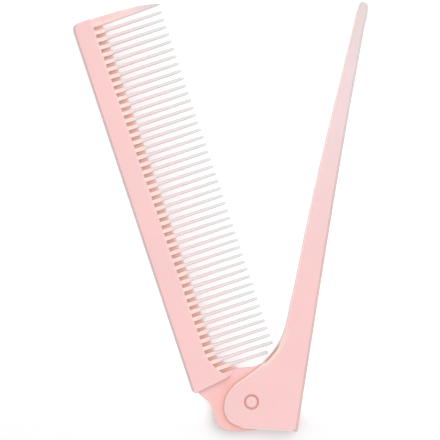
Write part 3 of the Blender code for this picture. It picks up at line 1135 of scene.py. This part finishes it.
# %% [markdown]
# ## Floor, light and camera
#
# The comb lies on a sheet of white acrylic that is lit a little from below, so the floor
# stays white between the teeth and lights their sides. Its glow dies away towards the hinge
# end, where the photo shows a soft shadow. Most light comes from overhead and less from the
# horizon. One large panel, up to the right and beyond the top of the comb, throws the
# shadow down and to the left. The camera looks straight down from about arm's length, so
# the picture is almost flat.

# %% The floor
FLOOR_SIZE = 6.0
FLOOR_GAP = 0.02 * MM
GLOW_FADE = (-70.0 * MM, -58.0 * MM)
GLOW_AT_HINGE = 0.0
GLOW = 0.40
FLOOR_WHITE = 0.81
FLOOR_ROUGHNESS = 0.9
FLOOR_GLOSS = 0.2


def make_floor():
    bm = bmesh.new()
    bmesh.ops.create_grid(bm, x_segments=1, y_segments=1, size=FLOOR_SIZE / 2)
    bmesh.ops.translate(bm, verts=bm.verts, vec=(0.0, 0.0, -FLOOR_GAP))
    floor = as_object("floor", bm)
    material = bpy.data.materials.new("white_acrylic")
    material.use_nodes = True
    tree = material.node_tree
    shader = tree.nodes["Principled BSDF"]
    shader.inputs["Base Color"].default_value = (FLOOR_WHITE, FLOOR_WHITE, FLOOR_WHITE, 1.0)
    shader.inputs["Roughness"].default_value = FLOOR_ROUGHNESS
    shader.inputs["Specular IOR Level"].default_value = FLOOR_GLOSS
    shader.inputs["Emission Color"].default_value = (1.0, 1.0, 1.0, 1.0)
    where = add_node(tree, "ShaderNodeTexCoord")
    axes = add_node(tree, "ShaderNodeSeparateXYZ")
    glow = add_node(tree, "ShaderNodeMapRange", interpolation_type="SMOOTHSTEP")
    settings = {
        "From Min": GLOW_FADE[0],
        "From Max": GLOW_FADE[1],
        "To Min": GLOW_AT_HINGE,
        "To Max": GLOW,
    }
    for label, value in settings.items():
        glow.inputs[label].default_value = value
    link = tree.links.new
    link(where.outputs["Object"], axes.inputs["Vector"])
    link(axes.outputs["Y"], glow.inputs["Value"])
    link(glow.outputs["Result"], shader.inputs["Emission Strength"])
    floor.data.materials.append(material)


make_floor()


# %% The light
HORIZON_LIGHT = 0.35
ZENITH_LIGHT = 1.41
PANEL_PLACE = (0.90, 1.10, 1.70)
PANEL_SIZE = 1.60
PANEL_POWER = 13.5


def make_sky():
    world = bpy.data.worlds.new("overhead_studio")
    bpy.context.scene.world = world
    world.use_nodes = True
    tree = world.node_tree
    where = add_node(tree, "ShaderNodeTexCoord")
    axes = add_node(tree, "ShaderNodeSeparateXYZ")
    strength = add_node(tree, "ShaderNodeMapRange")
    strength.inputs["To Min"].default_value = HORIZON_LIGHT
    strength.inputs["To Max"].default_value = ZENITH_LIGHT
    tree.links.new(where.outputs["Generated"], axes.inputs["Vector"])
    tree.links.new(axes.outputs["Z"], strength.inputs["Value"])
    background = tree.nodes["Background"]
    background.inputs["Color"].default_value = (1.0, 1.0, 1.0, 1.0)
    tree.links.new(strength.outputs["Result"], background.inputs["Strength"])


def make_panel():
    light = bpy.data.lights.new("panel", "AREA")
    light.shape = "SQUARE"
    light.size = PANEL_SIZE
    light.energy = PANEL_POWER
    lamp = bpy.data.objects.new("panel", light)
    lamp.location = PANEL_PLACE
    lamp.rotation_euler = (-lamp.location).to_track_quat("-Z", "Y").to_euler()
    bpy.context.scene.collection.objects.link(lamp)


make_sky()
make_panel()
bpy.context.scene.view_settings.view_transform = "Standard"

# %% The camera
PHOTO_PIXELS = 440
MM_PER_PIXEL = 0.33
PIN_IN_PHOTO = (251.4, 402.0)  # pixels from the left and from the top
CAMERA_ABOVE = 600.0 * MM  # above the comb's upper face


def make_camera():
    across = (PHOTO_PIXELS / 2 - PIN_IN_PHOTO[0]) * MM_PER_PIXEL * MM
    along = (PIN_IN_PHOTO[1] - PHOTO_PIXELS / 2) * MM_PER_PIXEL * MM
    camera = bpy.data.cameras.new("camera")
    camera.sensor_fit = "HORIZONTAL"
    camera.angle = 2 * atan(PHOTO_PIXELS * MM_PER_PIXEL * MM / 2 / CAMERA_ABOVE)
    camera.clip_start = 0.01
    obj = bpy.data.objects.new("camera", camera)
    obj.location = (pin_at.x + across, pin_at.y + along, THICKNESS + CAMERA_ABOVE)
    bpy.context.scene.collection.objects.link(obj)
    bpy.context.scene.camera = obj
    print("camera sees", round(degrees(camera.angle), 1), "degrees")


make_camera()

# %% A last update of the scene
bpy.context.view_layer.update()
